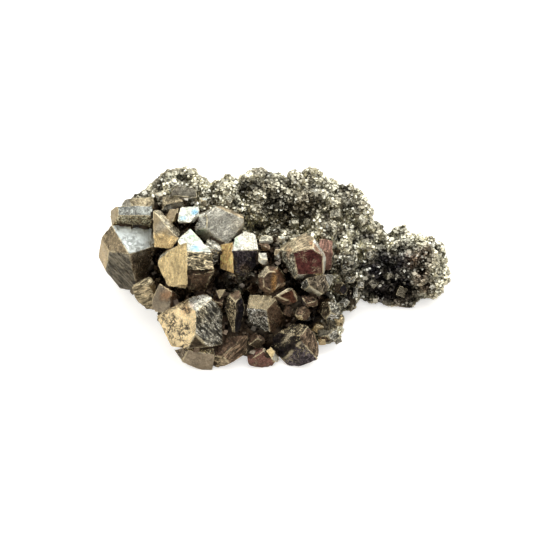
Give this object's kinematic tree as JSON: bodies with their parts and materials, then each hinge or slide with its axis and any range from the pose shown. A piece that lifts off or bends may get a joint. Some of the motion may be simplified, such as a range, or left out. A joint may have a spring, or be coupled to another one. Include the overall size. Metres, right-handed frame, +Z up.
{
  "type": "pyrite crystal cluster",
  "caption": "Hand-sized pyrite cluster with large bright crystals over a druse-covered mass, lying on a flat cut base.",
  "frame": {"origin": "on the resting plane, under the middle of the specimen", "axes": "+X along the specimen's length, towards its narrow arm; -Y towards the side the crystals face; +Z up"},
  "size_m": [0.0924, 0.0582, 0.0276],
  "materials": {
    "pyrite": "natural crystal faces, partly striated, over a fine granular druse"
  },
  "bodies": {
    "root": {"pyrite_cluster": "pyrite"}
  },
  "joints": []
}
